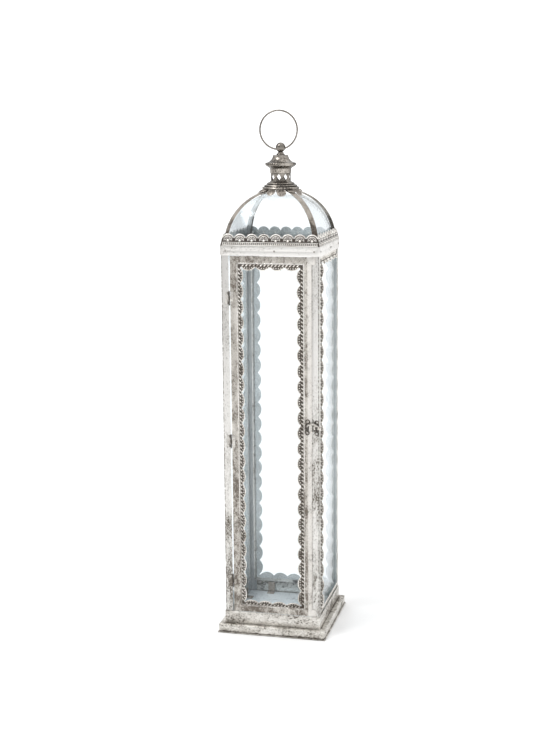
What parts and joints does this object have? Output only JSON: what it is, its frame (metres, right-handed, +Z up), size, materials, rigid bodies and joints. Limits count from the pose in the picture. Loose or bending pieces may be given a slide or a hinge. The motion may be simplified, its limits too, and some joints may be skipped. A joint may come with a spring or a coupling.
{
  "type": "candle lantern",
  "caption": "Tall square candle lantern with a glazed hinged door, hook latch, glazed dome, pierced chimney and swinging ring handle.",
  "frame": {"origin": "centre of the square base at floor level", "axes": "+Z up, -Y out of the door's face, -X towards the door's hinges"},
  "size_m": [0.184, 0.184, 0.8624],
  "materials": {
    "aged_silver_sheet": "distressed silver leaf over sheet, grey-brown in the recesses",
    "pierced_lace": "stamped and pierced strip, dark in the piercings and bright on the rims",
    "dark_pewter": "tarnished pewter with rubbed bright edges",
    "tarnished_strap": "warm grey-brown tarnish",
    "cast_fittings": "antiqued silver over dark casting",
    "polished_ring": "worn bright nickel",
    "bright_bead": "rubbed bright silver",
    "rivet_steel": "dull steel",
    "brown_clip": "brown patina",
    "clear_glass": "clear 2 mm glass, faint blue-grey"
  },
  "bodies": {
    "frame": {"ball_knob": "polished_ring", "band_rivets": "rivet_steel", "base_hem": "aged_silver_sheet", "base_pan": "aged_silver_sheet", "chimney_cap": "dark_pewter", "chimney_neck": "dark_pewter", "crest_back": "pierced_lace", "crest_front": "pierced_lace", "crest_left": "pierced_lace", "crest_right": "pierced_lace", "crown_ring": "dark_pewter", "dome_glass_back": "clear_glass", "dome_glass_front": "clear_glass", "dome_glass_left": "clear_glass", "dome_glass_right": "clear_glass", "dome_strap_back_left": "tarnished_strap", "dome_strap_back_right": "tarnished_strap", "dome_strap_front_left": "tarnished_strap", "dome_strap_front_right": "tarnished_strap", "floor_plate": "aged_silver_sheet", "glass_back": "clear_glass", "glass_left": "clear_glass", "glass_right": "clear_glass", "hinge_pins": "cast_fittings", "hinge_post_leaf_lower": "cast_fittings", "hinge_post_leaf_middle": "cast_fittings", "hinge_post_leaf_upper": "cast_fittings", "keeper_pin": "cast_fittings", "keeper_plate": "cast_fittings", "knob_collar": "dark_pewter", "knob_screw": "rivet_steel", "leaf_collar": "dark_pewter", "plinth_band": "aged_silver_sheet", "post_back_left": "aged_silver_sheet", "post_back_right": "aged_silver_sheet", "post_front_left": "aged_silver_sheet", "post_front_right": "aged_silver_sheet", "top_band": "aged_silver_sheet", "trim_back": "pierced_lace", "trim_left": "pierced_lace", "trim_right": "pierced_lace", "wall_glass_tabs": "brown_clip"},
    "door": {"door_bead": "bright_bead", "door_frame": "aged_silver_sheet", "door_glass": "clear_glass", "door_glass_tabs": "brown_clip", "door_trim": "pierced_lace", "hinge_door_leaf_lower": "cast_fittings", "hinge_door_leaf_middle": "cast_fittings", "hinge_door_leaf_upper": "cast_fittings", "latch_pivot": "cast_fittings", "latch_plate": "cast_fittings"},
    "latch": {"latch_hook": "cast_fittings"},
    "ring": {"ring_handle": "polished_ring"}
  },
  "joints": [
    {"name": "door_swing", "type": "hinge", "parent": "frame", "child": "door", "pos_m": [-0.067, -0.0817, 0.3286], "axis": [0, 0, -1], "range_deg": [0, 115]},
    {"name": "latch_lift", "type": "hinge", "parent": "door", "child": "latch", "pos_m": [0.0595, -0.0834, 0.3575], "axis": [0, -1, 0], "range_deg": [0, 75]},
    {"name": "ring_swing", "type": "hinge", "parent": "frame", "child": "ring", "pos_m": [0, 0, 0.7996], "axis": [0.9945, 0, 0.1045], "range_deg": [-145, 145]}
  ]
}
